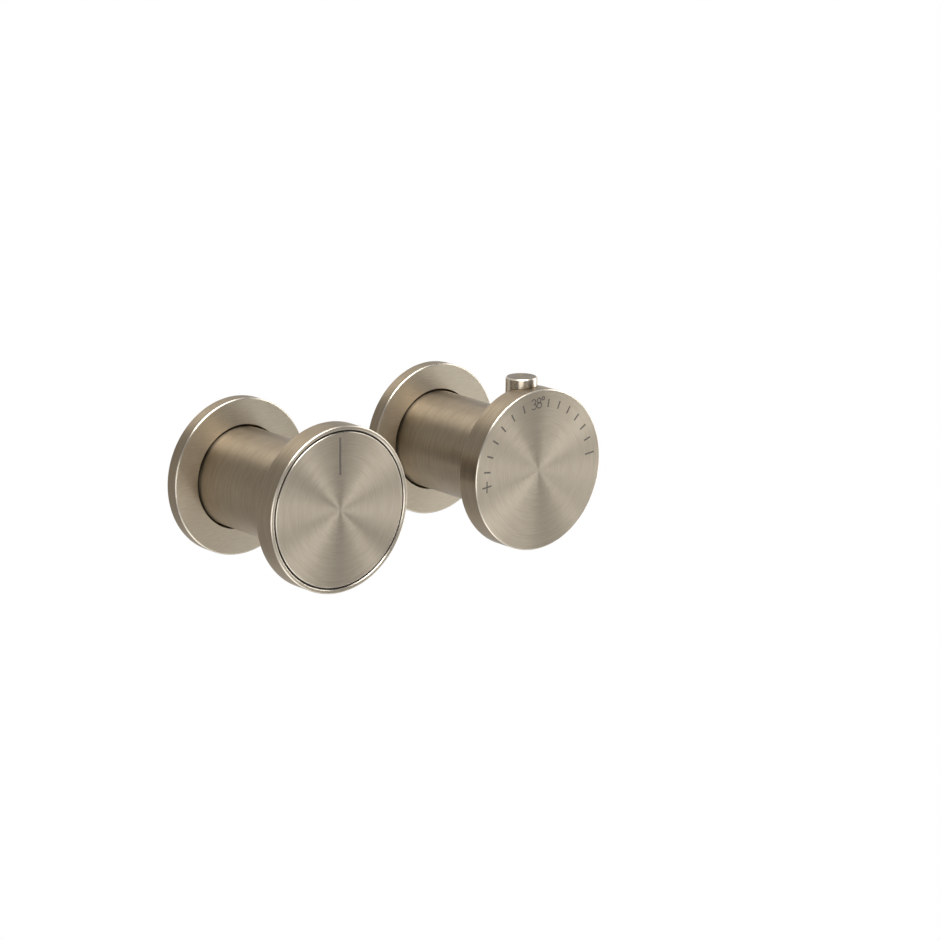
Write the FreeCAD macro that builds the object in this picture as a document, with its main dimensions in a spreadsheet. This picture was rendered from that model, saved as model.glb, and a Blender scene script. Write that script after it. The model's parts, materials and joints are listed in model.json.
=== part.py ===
import FreeCAD, Part
import math
import os
from types import SimpleNamespace

import Sketcher

# A concealed two-control shower mixer: a stop valve on the left and a thermostatic valve on the right.
# Lengths are in millimetres. X runs along the wall to the right and Z runs up. Heights run out of the
# wall, along -Y, from the back of the wall bracket. The origin is the middle of the bracket's back face.

SIZES = {
    # layout
    "axis_spacing": 100.0,
    "wall_depth": 75.0,
    "fit_clearance": 0.05,
    "part_gap": 0.3,
    "cut_overrun": 1.0,
    # rosettes and the sleeves that carry them
    "rosette_radius": 32.0,
    "rosette_thickness": 5.5,
    "rosette_edge": 0.4,
    "rosette_lip": 2.0,
    "gasket_land": 1.8,
    "gasket_width": 3.0,
    "gasket_thickness": 1.2,
    "carrier_wall": 4.4,
    "carrier_grip": 10.0,
    "carrier_groove_depth": 1.25,
    "carrier_groove_width": 1.8,
    # knobs
    "knob_radius": 33.1,
    "knob_edge": 0.4,
    "stem_radius": 20.45,
    "stem_wall": 3.95,
    "stem_gap": 0.85,
    "stem_inset": 2.0,
    "stem_corner": 0.5,
    "stop_knob_front": 69.6,
    "stop_knob_thickness": 9.6,
    "thermo_knob_front": 71.0,
    "thermo_knob_thickness": 10.5,
    "stop_bore_into_disc": 2.0,
    "thermo_bore_into_disc": 3.6,
    "hub_length": 10.0,
    # insert of the stop knob and the fixings of both knobs
    "rim_width": 1.75,
    "insert_gap": 0.6,
    "insert_thickness": 1.7,
    "insert_edge": 0.3,
    "insert_ring_thickness": 0.7,
    "spigot_radius": 27.0,
    "spigot_length": 2.0,
    "knob_screw_radius": 2.0,
    "knob_screw_head_radius": 3.5,
    "knob_screw_head_height": 2.5,
    "knob_screw_length": 10.0,
    "knob_screw_wall": 1.8,
    "driver_radius": 1.5,
    "driver_depth": 1.5,
    "grub_radius": 2.0,
    "grub_length": 8.0,
    "grub_behind_front": 4.6,
    "thermo_front_wall": 2.5,
    # override button
    "button_radius": 6.4,
    "button_top": 36.7,
    "button_edge": 0.5,
    "button_behind_front": 11.4,
    "button_travel": 3.0,
    "button_seat_cut": 0.45,
    "button_bore_radius": 4.2,
    "button_bore_depth": 8.0,
    "button_pin_radius": 2.5,
    "button_pin_reach": 3.5,
    "button_clip_radius": 3.8,
    "button_clip_thickness": 0.8,
    "button_clip_groove": 0.4,
    "button_clip_drop": 1.1,
    "button_spring_wire": 0.35,
    # temperature stop
    "stop_ring_wall": 1.3,
    "stop_ring_length": 4.5,
    "stop_lug_radius": 1.5,
    # rods between the spindles and the knobs, and the tube around the thermostatic one
    "rod_radius": 4.0,
    "sleeve_wall": 1.45,
    "sleeve_length": 14.0,
    "sleeve_grip": 5.5,
    "tube_play": 0.5,
    "tube_wall": 1.4,
    "tube_end_gap": 1.5,
    # wall bracket and its screws
    "bracket_thickness": 2.5,
    "bracket_length": 216.0,
    "bracket_width": 62.0,
    "wall_hole_radius": 2.75,
    "wall_hole_inset": 8.0,
    "wall_hole_margin": 16.0,
    "body_screw_radius": 2.45,
    "body_screw_offset": 18.4,
    "body_screw_head_radius": 4.25,
    "body_screw_head_height": 3.0,
    # valve body
    "boss_radius": 20.5,
    "boss_setback": 7.0,
    "flange_radius": 31.0,
    "flange_thickness": 6.0,
    "chamber_floor": 12.0,
    "seat_height": 24.0,
    "stop_inlet_radius": 9.0,
    "headwork_bore_radius": 13.0,
    "cartridge_bore_radius": 15.0,
    "bridge_radius": 11.0,
    "bridge_bore_radius": 5.5,
    "bridge_height": 18.0,
    "port_boss_radius": 13.5,
    "port_bore_radius": 6.0,
    "cross_bore_radius": 5.0,
    "port_reach": 50.0,
    "thread_radius": 9.3,
    "thread_length": 16.0,
    "inlet_offset": 24.0,
    "inlet_rise": 8.0,
    "hot_height": 29.5,
    "cold_height": 44.0,
    "outlet_height": 38.0,
    # headwork of the stop valve
    "spindle_radius": 5.0,
    "spindle_dog_radius": 3.5,
    "spindle_dog_length": 2.0,
    "head_flange_radius": 16.0,
    "head_flange_thickness": 3.5,
    "head_cavity_radius": 10.6,
    "head_cavity_height": 18.0,
    "head_window_radius": 5.0,
    "head_seal_thickness": 2.0,
    "head_seal_width": 3.1,
    "ceramic_thickness": 3.0,
    "ceramic_play": 0.1,
    "ceramic_hole_radius": 1.9,
    "ceramic_hole_offset": 7.2,
    "clip_thickness": 0.8,
    "clip_width": 1.6,
    "spindle_groove_depth": 1.0,
    "spindle_groove_width": 1.3,
    # thermostatic cartridge
    "cartridge_cavity_radius": 11.0,
    "cartridge_floor": 3.0,
    "cartridge_roof": 6.0,
    "cartridge_port_radius": 4.0,
    "nut_height": 6.0,
    "seal_groove_depth": 1.0,
    "seal_groove_width": 1.3,
    "spindle_flange_radius": 7.5,
    "spindle_flange_thickness": 4.0,
    "spindle_stub_radius": 3.0,
    "spindle_stub_length": 7.0,
    "piston_length": 10.0,
    "piston_wall": 4.4,
    "piston_web": 2.0,
    "piston_web_setback": 2.0,
    "shuttle_travel": 0.8,
    "nut_wall": 2.95,
    "nut_length": 4.5,
    "wax_radius": 4.5,
    "wax_length": 17.0,
    "wax_plunger_radius": 1.9,
    "wax_plunger_length": 6.0,
    "return_spring_wire": 0.9,
    "return_spring_radius": 8.5,
    "overtravel_spring_wire": 0.5,
    "overtravel_spring_radius": 4.8,
    # check valves and strainers of the inlets
    "check_bore_radius": 8.0,
    "check_bore_length": 21.0,
    "strainer_thickness": 1.2,
    "strainer_hole_radius": 1.3,
    "strainer_hole_circle": 4.6,
    "cage_length": 18.6,
    "cage_wall": 1.95,
    "cage_seat_radius": 4.2,
    "cage_seat_length": 2.0,
    "cage_web": 2.0,
    "cage_web_setback": 0.5,
    "cage_hole_radius": 1.3,
    "cage_hole_circle": 3.8,
    "poppet_radius": 5.4,
    "poppet_thickness": 2.0,
    "poppet_stem_radius": 1.5,
    "poppet_stem_overhang": 0.5,
    "check_spring_radius": 3.2,
    "check_spring_wire": 0.35,
}

STOP_LUG_DEGREES = 35
FULL_TURN_DEGREES = 360
QUARTERS_PER_TURN = 4
BUTTON_SPRING_TURNS = 7
RETURN_SPRING_TURNS = 6
OVERTRAVEL_SPRING_TURNS = 6
CHECK_SPRING_TURNS = 8
STRAINER_HOLES = 6
CAGE_HOLES = 4

UPRIGHT = FreeCAD.Rotation()
OUT_OF_WALL = FreeCAD.Rotation(FreeCAD.Vector(1, 0, 0), 90)
SIDEWAYS = FreeCAD.Rotation(FreeCAD.Vector(0, 1, 0), 90)

# places of points in a sketch's constraints
ORIGIN_INDEX = -1
START_INDEX = 1
END_INDEX = 2


class Size:
    """A length: its value, and the sheet expression that drives it."""

    def __init__(self, value, text):
        self.value = value
        self.text = text

    def __add__(self, other):
        return Size(self.value + other.value, f"({self.text} + {other.text})")

    def __sub__(self, other):
        return Size(self.value - other.value, f"({self.text} - {other.text})")

    def __mul__(self, share):
        return Size(self.value * share, f"({self.text} * {share})")

    def __truediv__(self, count):
        return Size(self.value / count, f"({self.text} / {count})")

    def __neg__(self):
        return Size(-self.value, f"(0 - {self.text})")


ZERO = Size(0, "0")

doc = FreeCAD.newDocument("shower_mixer")
sheet = doc.addObject("Spreadsheet::Sheet", "Sizes")
for row, (alias, number) in enumerate(SIZES.items(), start=1):
    sheet.set(f"A{row}", alias)
    sheet.set(f"B{row}", str(number))
    sheet.setAlias(f"B{row}", alias)
doc.recompute()

d = SimpleNamespace(**{alias: Size(sheet.get(alias), f"Sizes.{alias}") for alias in SIZES})

# sizes and levels that several pieces share
stop_x = -d.axis_spacing / 2
thermo_x = d.axis_spacing / 2
hot_x = thermo_x - d.inlet_offset
cold_x = thermo_x + d.inlet_offset
boss_top = d.wall_depth - d.boss_setback
stem_end = d.wall_depth - d.stem_inset
stem_bore_radius = d.stem_radius - d.stem_wall
rosette_bore_radius = d.stem_radius + d.stem_gap
carrier_radius = d.boss_radius + d.carrier_wall
rosette_seat_radius = carrier_radius + d.part_gap
rosette_seat_height = d.wall_depth + d.rosette_thickness - d.rosette_lip
recess_radius = d.knob_radius - d.rim_width
insert_radius = recess_radius - d.insert_gap
stop_front = d.wall_depth + d.stop_knob_front
stop_back = stop_front - d.stop_knob_thickness
recess_floor = stop_front - d.insert_thickness
spigot_floor = recess_floor - d.spigot_length - d.fit_clearance
screw_seat = spigot_floor - d.knob_screw_head_height
stop_rod_top = screw_seat - d.knob_screw_wall - d.fit_clearance
thermo_front = d.wall_depth + d.thermo_knob_front
thermo_back = thermo_front - d.thermo_knob_thickness
thermo_rod_top = thermo_front - d.thermo_front_wall - d.fit_clearance
thermo_bore_end = thermo_back + d.thermo_bore_into_disc
button_height = thermo_front - d.button_behind_front
grub_height = thermo_front - d.grub_behind_front
rod_bore_radius = d.rod_radius + d.fit_clearance
sleeve_bore_radius = d.spindle_radius + d.fit_clearance
sleeve_radius = sleeve_bore_radius + d.sleeve_wall
tube_bore_radius = sleeve_radius + d.tube_play
tube_radius = tube_bore_radius + d.tube_wall
tube_top = thermo_bore_end - d.tube_end_gap
spindle_top = boss_top + d.head_flange_thickness + d.clip_thickness + d.sleeve_grip
flange_top = d.bracket_thickness + d.flange_thickness
head_top = boss_top + d.head_flange_thickness
cartridge_top = boss_top - d.nut_height
cavity_top = cartridge_top - d.cartridge_roof
cartridge_base = d.chamber_floor + d.fit_clearance
piston_low = (d.hot_height + d.cold_height - d.piston_length) / 2
piston_top = piston_low + d.piston_length
spindle_flange_low = cavity_top - d.spindle_flange_thickness
cage_low = d.thread_length + d.strainer_thickness + d.fit_clearance * 2


def bind(piece, name, size):
    """Drives one size of a piece from the sheet."""
    piece.setExpression(name, size.text)


def place(piece, x, height=ZERO, up=ZERO, turn=OUT_OF_WALL):
    """Puts a piece's own origin at a point of the part, with its axis turned as named."""
    piece.Placement = FreeCAD.Placement(FreeCAD.Vector(x.value, -height.value, up.value), turn)
    bind(piece, "Placement.Base.x", x)
    bind(piece, "Placement.Base.y", -height)
    bind(piece, "Placement.Base.z", up)


def turned(label, section, x, height=ZERO, up=ZERO, turn=OUT_OF_WALL):
    """A turned piece: its half section, as (radius, height) corners, revolved about its axis."""
    body = doc.addObject("PartDesign::Body", label)
    sketch = body.newObject("Sketcher::SketchObject", f"{label}_section")
    plane = next(item for item in body.Origin.OriginFeatures if item.Role == "XZ_Plane")
    sketch.AttachmentSupport = (plane, [""])
    sketch.MapMode = "FlatFace"
    corners = [FreeCAD.Vector(radius.value, rise.value, 0) for radius, rise in section]
    after = [*range(1, len(corners)), 0]
    for index, following in enumerate(after):
        sketch.addGeometry(Part.LineSegment(corners[index], corners[following]), False)
    for index, following in enumerate(after):
        sketch.addConstraint(Sketcher.Constraint("Coincident", index, END_INDEX, following, START_INDEX))
    for index, corner in enumerate(section):
        for kind, size in zip(("DistanceX", "DistanceY"), corner):
            rule = Sketcher.Constraint(kind, ORIGIN_INDEX, START_INDEX, index, START_INDEX, size.value)
            sketch.setExpression(f"Constraints[{sketch.addConstraint(rule)}]", size.text)
    form = body.newObject("PartDesign::Revolution", f"{label}_form")
    form.Profile = sketch
    form.ReferenceAxis = (sketch, ["V_Axis"])
    form.Angle = FULL_TURN_DEGREES
    place(body, x, height, up, turn)
    return body


def bush(label, bore, radius, low, high, x, height=ZERO, up=ZERO, turn=OUT_OF_WALL):
    """A plain turned ring or disc between two heights."""
    section = [(bore, low), (radius, low), (radius, high), (bore, high)]
    return turned(label, section, x, height, up, turn)


def bar(label, radius, length, x, height=ZERO, up=ZERO, turn=OUT_OF_WALL):
    """A round bar, used as a solid or as a drill."""
    piece = doc.addObject("Part::Cylinder", label)
    bind(piece, "Radius", radius)
    bind(piece, "Height", length)
    place(piece, x, height, up, turn)
    return piece


def seal_ring(label, groove_radius, bore_radius, x, height):
    """An O-ring that fills the room between its groove's floor and the bore around it."""
    ring = doc.addObject("Part::Torus", label)
    bind(ring, "Radius1", (groove_radius + bore_radius) / 2)
    bind(ring, "Radius2", (bore_radius - groove_radius) / 2 - d.fit_clearance)
    place(ring, x, height)
    return ring


def arc_pair(start, start_way, end, end_way):
    """Two arcs that lead smoothly from one point and direction to another."""
    chord = end - start
    along = chord.dot(start_way + end_way)
    bend = 1 - start_way.dot(end_way)
    reach = (math.sqrt(along ** 2 + 2 * bend * chord.dot(chord)) - along) / (2 * bend)
    first_corner = start + start_way * reach
    second_corner = end - end_way * reach
    joint = (first_corner + second_corner) / 2
    arcs = []
    for begin, corner, finish in ((start, first_corner, joint), (joint, second_corner, end)):
        middle = (begin + finish) / 2
        slope = begin.distanceToPoint(middle) / reach
        crown = middle + (corner - middle) * (slope / (1 + slope))
        arcs.append(Part.Arc(begin, crown, finish).toShape())
    return arcs


def spring(label, coil, wire, low, high, turns, x, height=ZERO, up=ZERO, turn=OUT_OF_WALL):
    """A round-wire coil spring between two levels along its axis, as a tube along pairs of arcs."""
    room = high - low - wire * 2 - d.fit_clearance * 2
    quarters = turns * QUARTERS_PER_TURN
    points = []
    ways = []
    for step in range(quarters + 1):
        angle = math.tau * step / QUARTERS_PER_TURN
        points.append(FreeCAD.Vector(coil.value * math.cos(angle), coil.value * math.sin(angle),
                                     room.value * step / quarters))
        way = FreeCAD.Vector(-math.sin(angle), math.cos(angle), room.value / (turns * math.tau * coil.value))
        ways.append(way.normalize())
    arcs = []
    for step in range(quarters):
        arcs += arc_pair(points[step], ways[step], points[step + 1], ways[step + 1])
    end = Part.Wire(Part.makeCircle(wire.value, points[0], ways[0]))
    coils = doc.addObject("Part::Feature", label)
    coils.Shape = Part.Wire(arcs).makePipeShell([end], True, False)
    start = low + wire + d.fit_clearance
    if turn == UPRIGHT:
        place(coils, x, height, up + start, turn)
    else:
        place(coils, x, height + start, up, turn)
    return coils


def combined(label, kind, shapes):
    """The first shape with each of the others added to it or cut from it in turn."""
    piece = shapes[0]
    for index, shape in enumerate(shapes[1:], start=1):
        last = index == len(shapes) - 1
        step = doc.addObject(kind, label if last else f"{label}_{index}")
        step.Base = piece
        step.Tool = shape
        piece = step
    return piece


def joined(label, solids):
    """One solid made of several that run into each other."""
    return combined(label, "Part::Fuse", solids)


def cut(label, blank, tools):
    """A piece with holes or notches cut from its blank."""
    return combined(label, "Part::Cut", [blank, *tools])


def grouped(label, solids):
    """Separate like solids that are kept under one name."""
    piece = doc.addObject("Part::Compound", label)
    piece.Links = solids
    return piece


def body_screw_places():
    """Where the valve body is screwed down: below the stop boss and above the thermostatic one."""
    side = d.body_screw_offset
    return [(stop_x - side, -side), (stop_x + side, -side), (thermo_x - side, side), (thermo_x + side, side)]


def wall_fixings():
    """The plate that is screwed to the wall, and the screws that hold the valve body on it."""
    half_width = d.bracket_width / 2
    straight = d.bracket_length - d.bracket_width
    plate = doc.addObject("Part::Box", "bracket_middle")
    bind(plate, "Length", straight)
    bind(plate, "Width", d.bracket_width)
    bind(plate, "Height", d.bracket_thickness)
    place(plate, -straight / 2, ZERO, -half_width)
    ends = [
        bar(f"bracket_end_{name}", half_width, d.bracket_thickness, x)
        for name, x in (("left", -straight / 2), ("right", straight / 2))
    ]
    depth = d.bracket_thickness + d.cut_overrun * 2
    hole_x = d.bracket_length / 2 - d.wall_hole_inset
    hole_up = half_width - d.wall_hole_margin
    spots = [(x, up, d.wall_hole_radius) for x in (-hole_x, hole_x) for up in (-hole_up, hole_up)]
    spots += [(x, up, d.body_screw_radius + d.fit_clearance) for x, up in body_screw_places()]
    holes = [
        bar(f"bracket_hole_{index}", radius, depth, x, -d.cut_overrun, up)
        for index, (x, up, radius) in enumerate(spots)
    ]
    bracket = cut("wall_bracket", joined("bracket_blank", [plate, *ends]), holes)

    head_low = flange_top + d.fit_clearance
    head_high = head_low + d.body_screw_head_height
    section = [
        (ZERO, d.fit_clearance),
        (d.body_screw_radius, d.fit_clearance),
        (d.body_screw_radius, head_low),
        (d.body_screw_head_radius, head_low),
        (d.body_screw_head_radius, head_high),
        (d.driver_radius, head_high),
        (d.driver_radius, head_high - d.driver_depth),
        (ZERO, head_high - d.driver_depth),
    ]
    screws = [
        turned(f"body_screw_{index}", section, x, ZERO, up)
        for index, (x, up) in enumerate(body_screw_places())
    ]
    return [bracket, grouped("bracket_screws", screws)]


def valve_body():
    """The brass body: two chambers joined by a bridge, two inlets below and one outlet above."""
    foot = d.bracket_thickness + d.fit_clearance
    solids = []
    for name, x in (("stop", stop_x), ("thermo", thermo_x)):
        solids.append(bar(f"{name}_boss", d.boss_radius, boss_top - foot, x, foot))
        solids.append(bar(f"{name}_flange", d.flange_radius, flange_top - foot, x, foot))
    solids.append(bar("bridge", d.bridge_radius, d.axis_spacing, stop_x, d.bridge_height, ZERO, SIDEWAYS))
    solids.append(
        bar("outlet_boss", d.port_boss_radius, d.port_reach, stop_x, d.outlet_height, ZERO, UPRIGHT)
    )
    over = d.cut_overrun
    thread_depth = d.thread_length + over
    drills = [
        bar("stop_inlet", d.stop_inlet_radius, boss_top - d.chamber_floor, stop_x, d.chamber_floor),
        bar("headwork_bore", d.headwork_bore_radius, boss_top - d.seat_height + over, stop_x, d.seat_height),
        bar("cartridge_bore", d.cartridge_bore_radius, boss_top - d.chamber_floor + over, thermo_x,
            d.chamber_floor),
        bar("bridge_bore", d.bridge_bore_radius, d.axis_spacing, stop_x, d.bridge_height, ZERO, SIDEWAYS),
        bar("outlet_bore", d.port_bore_radius, d.port_reach, stop_x, d.outlet_height, ZERO, UPRIGHT),
        bar("outlet_thread", d.thread_radius, thread_depth, stop_x, d.outlet_height,
            d.port_reach - d.thread_length, UPRIGHT),
    ]
    for name, x, height in (("hot", hot_x, d.hot_height), ("cold", cold_x, d.cold_height)):
        mouth = -d.port_reach
        solids.append(
            bar(f"{name}_boss", d.port_boss_radius, d.port_reach + d.inlet_rise, x, height, mouth, UPRIGHT)
        )
        drills.append(bar(f"{name}_thread", d.thread_radius, thread_depth, x, height, mouth - over, UPRIGHT))
        drills.append(
            bar(f"{name}_check_bore", d.check_bore_radius, d.thread_length + d.check_bore_length, x, height,
                mouth, UPRIGHT)
        )
        riser_length = d.port_reach + d.cross_bore_radius
        drills.append(bar(f"{name}_riser", d.port_bore_radius, riser_length, x, height, mouth, UPRIGHT))
        cross_start = x if name == "hot" else thermo_x
        drills.append(
            bar(f"{name}_cross", d.cross_bore_radius, d.inlet_offset, cross_start, height, ZERO, SIDEWAYS)
        )
    screw_hole = d.body_screw_radius + d.fit_clearance
    for index, (x, up) in enumerate(body_screw_places()):
        drills.append(bar(f"flange_hole_{index}", screw_hole, flange_top + over, x, ZERO, up))
    return [cut("valve_body", joined("valve_blank", solids), drills)]


def rosette_set(name, x):
    """A wall rosette with its gasket, the sleeve on the valve boss that carries it, and their O-ring."""
    wall = d.wall_depth
    front = wall + d.rosette_thickness
    gasket_bore = rosette_seat_radius + d.gasket_land
    gasket_radius = gasket_bore + d.gasket_width
    gasket_top = wall + d.gasket_thickness
    rosette = turned(f"{name}_rosette", [
        (rosette_seat_radius, wall),
        (gasket_bore, wall),
        (gasket_bore, gasket_top),
        (gasket_radius, gasket_top),
        (gasket_radius, wall),
        (d.rosette_radius, wall),
        (d.rosette_radius, front - d.rosette_edge),
        (d.rosette_radius - d.rosette_edge, front),
        (rosette_bore_radius, front),
        (rosette_bore_radius, rosette_seat_height),
        (rosette_seat_radius, rosette_seat_height),
    ], x)
    gasket = bush(f"{name}_rosette_gasket", gasket_bore + d.fit_clearance, gasket_radius - d.fit_clearance,
                  wall, gasket_top - d.fit_clearance, x)
    carrier_low = boss_top - d.carrier_grip
    carrier_top = rosette_seat_height - d.fit_clearance
    grip_bore = d.boss_radius + d.fit_clearance
    front_bore = rosette_bore_radius + d.part_gap
    groove_radius = carrier_radius - d.carrier_groove_depth
    groove_middle = (wall + carrier_top) / 2
    carrier = turned(f"{name}_carrier", [
        (grip_bore, carrier_low),
        (carrier_radius, carrier_low),
        (carrier_radius, groove_middle - d.carrier_groove_width / 2),
        (groove_radius, groove_middle - d.carrier_groove_width / 2),
        (groove_radius, groove_middle + d.carrier_groove_width / 2),
        (carrier_radius, groove_middle + d.carrier_groove_width / 2),
        (carrier_radius, carrier_top),
        (front_bore, carrier_top),
        (front_bore, boss_top - d.cut_overrun),
        (grip_bore, boss_top - d.cut_overrun),
    ], x)
    ring = seal_ring(f"{name}_rosette_ring", groove_radius, rosette_seat_radius, x, groove_middle)
    return [rosette, gasket, carrier, ring]


def stem_and_disc(back, front):
    """The outside of a knob from its stem's end to its front edge, as a half section."""
    return [
        (stem_bore_radius, stem_end),
        (d.stem_radius, stem_end),
        (d.stem_radius, back - d.stem_corner),
        (d.stem_radius + d.stem_corner, back),
        (d.knob_radius - d.knob_edge, back),
        (d.knob_radius, back + d.knob_edge),
        (d.knob_radius, front - d.knob_edge),
        (d.knob_radius - d.knob_edge, front),
    ]


def socket_and_hub(bore_end, socket_top):
    """The inside of a knob from its rod socket back to the stem's bore, as a half section."""
    hub_low = bore_end - d.hub_length
    return [
        (rod_bore_radius, socket_top),
        (rod_bore_radius, hub_low),
        (sleeve_radius, hub_low),
        (sleeve_radius, bore_end),
        (stem_bore_radius, bore_end),
    ]


def extension_rod(label, top, tapped, x):
    """A rod that carries a spindle's turn out to its knob, with a sleeve over the spindle's end."""
    low = spindle_top - d.sleeve_grip + d.fit_clearance
    high = low + d.sleeve_length
    section = [
        (sleeve_bore_radius, low),
        (sleeve_radius, low),
        (sleeve_radius, high),
        (d.rod_radius, high),
        (d.rod_radius, top),
    ]
    if tapped:
        tap_radius = d.knob_screw_radius + d.fit_clearance
        tap_floor = top - d.knob_screw_length - d.fit_clearance
        section += [(tap_radius, top), (tap_radius, tap_floor), (ZERO, tap_floor)]
    else:
        section.append((ZERO, top))
    socket_top = spindle_top + d.fit_clearance
    section += [(ZERO, socket_top), (sleeve_bore_radius, socket_top)]
    return turned(label, section, x)


def stop_knob_set():
    """The left knob with its flush insert, the seal ring in the insert's gap, its screw and its rod."""
    spigot_bore = d.spigot_radius + d.fit_clearance
    head_bore = d.knob_screw_head_radius + d.part_gap
    screw_bore = d.knob_screw_radius + d.fit_clearance
    socket_top = stop_rod_top + d.fit_clearance
    knob = turned("stop_knob", [
        *stem_and_disc(stop_back, stop_front),
        (recess_radius + d.knob_edge, stop_front),
        (recess_radius, stop_front - d.knob_edge),
        (recess_radius, recess_floor),
        (spigot_bore, recess_floor),
        (spigot_bore, spigot_floor),
        (head_bore, spigot_floor),
        (head_bore, screw_seat),
        (screw_bore, screw_seat),
        (screw_bore, socket_top),
        *socket_and_hub(stop_back + d.stop_bore_into_disc, socket_top),
    ], stop_x)
    insert_low = recess_floor + d.fit_clearance
    insert = turned("stop_knob_insert", [
        (ZERO, spigot_floor + d.fit_clearance),
        (d.spigot_radius, spigot_floor + d.fit_clearance),
        (d.spigot_radius, insert_low),
        (insert_radius, insert_low),
        (insert_radius, stop_front - d.insert_edge),
        (insert_radius - d.insert_edge, stop_front),
        (ZERO, stop_front),
    ], stop_x)
    ring = bush("insert_ring", insert_radius + d.fit_clearance, recess_radius - d.fit_clearance, insert_low,
                insert_low + d.insert_ring_thickness, stop_x)
    head_low = screw_seat + d.fit_clearance
    head_high = spigot_floor - d.fit_clearance
    tip = stop_rod_top - d.knob_screw_length
    screw = turned("knob_screw", [
        (ZERO, tip),
        (d.knob_screw_radius, tip),
        (d.knob_screw_radius, head_low),
        (d.knob_screw_head_radius, head_low),
        (d.knob_screw_head_radius, head_high),
        (d.driver_radius, head_high),
        (d.driver_radius, head_high - d.driver_depth),
        (ZERO, head_high - d.driver_depth),
    ], stop_x)
    rod = extension_rod("stop_extension_rod", stop_rod_top, True, stop_x)
    return [knob, insert, ring, screw, rod]


def thermo_knob_set():
    """The right knob, notched for its button, with its grub screw and its rod."""
    socket_top = thermo_rod_top + d.fit_clearance
    blank = turned("thermo_knob_blank", [
        *stem_and_disc(thermo_back, thermo_front),
        (ZERO, thermo_front),
        (ZERO, socket_top),
        *socket_and_hub(thermo_bore_end, socket_top),
    ], thermo_x)
    seat = d.stem_radius - d.button_seat_cut
    notch = bar("button_notch", d.button_radius + d.part_gap, d.knob_radius, thermo_x, button_height, seat,
                UPRIGHT)
    guide = bar("button_guide", d.button_pin_radius + d.fit_clearance, d.stem_radius, thermo_x, button_height,
                stem_bore_radius - d.cut_overrun, UPRIGHT)
    grub_bore = d.grub_radius + d.fit_clearance
    grub_hole = bar("grub_hole", grub_bore, d.knob_radius + d.cut_overrun, thermo_x, grub_height,
                    -d.knob_radius - d.cut_overrun, UPRIGHT)
    knob = cut("thermo_knob", blank, [notch, guide, grub_hole])
    grub_top = -d.rod_radius - d.fit_clearance
    grub_low = grub_top - d.grub_length
    grub = turned("thermo_grub_screw", [
        (d.driver_radius, ZERO),
        (d.grub_radius, ZERO),
        (d.grub_radius, d.grub_length),
        (ZERO, d.grub_length),
        (ZERO, d.driver_depth),
        (d.driver_radius, d.driver_depth),
    ], thermo_x, grub_height, grub_low, UPRIGHT)
    rod = extension_rod("thermo_extension_rod", thermo_rod_top, False, thermo_x)
    return [knob, grub, rod]


def override_button_set():
    """The button that lets the thermostatic knob past its stop, with its clip and its spring."""
    seat = d.stem_radius - d.button_seat_cut
    foot = seat + d.button_travel + d.part_gap
    bore_top = foot + d.button_bore_depth
    tip = stem_bore_radius - d.button_pin_reach
    clip_top = stem_bore_radius - d.button_clip_drop
    clip_low = clip_top - d.button_clip_thickness
    neck = d.button_pin_radius - d.button_clip_groove
    button = turned("override_button", [
        (ZERO, tip),
        (d.button_pin_radius, tip),
        (d.button_pin_radius, clip_low),
        (neck, clip_low),
        (neck, clip_top),
        (d.button_pin_radius, clip_top),
        (d.button_pin_radius, bore_top),
        (d.button_bore_radius, bore_top),
        (d.button_bore_radius, foot),
        (d.button_radius, foot),
        (d.button_radius, d.button_top - d.button_edge),
        (d.button_radius - d.button_edge, d.button_top),
        (ZERO, d.button_top),
    ], thermo_x, button_height, ZERO, UPRIGHT)
    clip = bush("button_clip", neck + d.fit_clearance, d.button_clip_radius, clip_low + d.fit_clearance,
                clip_top - d.fit_clearance, thermo_x, button_height, ZERO, UPRIGHT)
    coil = (d.button_pin_radius + d.button_bore_radius) / 2
    coils = spring("button_spring", coil, d.button_spring_wire, seat, bore_top, BUTTON_SPRING_TURNS,
                   thermo_x, button_height, ZERO, UPRIGHT)
    return [button, clip, coils]


def temperature_stop_set():
    """The fixed tube around the thermostatic rod, and the stop ring on its end."""
    tube_low = cartridge_top + d.clip_thickness + d.part_gap * 2
    tube = bush("thermo_extension_tube", tube_bore_radius, tube_radius, tube_low, tube_top, thermo_x)
    ring_bore = tube_radius + d.fit_clearance
    ring_radius = ring_bore + d.stop_ring_wall - d.fit_clearance
    ring = bush("stop_ring_band", ring_bore, ring_radius, tube_top - d.stop_ring_length, tube_top, thermo_x)
    lug_tip = stem_bore_radius - d.button_pin_reach - d.part_gap
    lean = FreeCAD.Rotation(FreeCAD.Vector(0, 1, 0), STOP_LUG_DEGREES)
    lug = bar("stop_ring_lug", d.stop_lug_radius, lug_tip, thermo_x, tube_top - d.stop_ring_length / 2, ZERO,
              lean)
    core = bar("stop_ring_core", ring_bore, d.stop_ring_length + d.cut_overrun * 2, thermo_x,
               tube_top - d.stop_ring_length - d.cut_overrun)
    stop_ring = cut("temperature_stop_ring", joined("stop_ring_blank", [ring, lug]), [core])
    return [tube, stop_ring]


def spindle_clip(label, height, x):
    """The ring that keeps a spindle from being pushed in."""
    bore = d.spindle_radius + d.fit_clearance
    low = height + d.fit_clearance * 2
    return bush(label, bore, bore + d.clip_width, low, low + d.clip_thickness - d.fit_clearance * 2, x)


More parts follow.
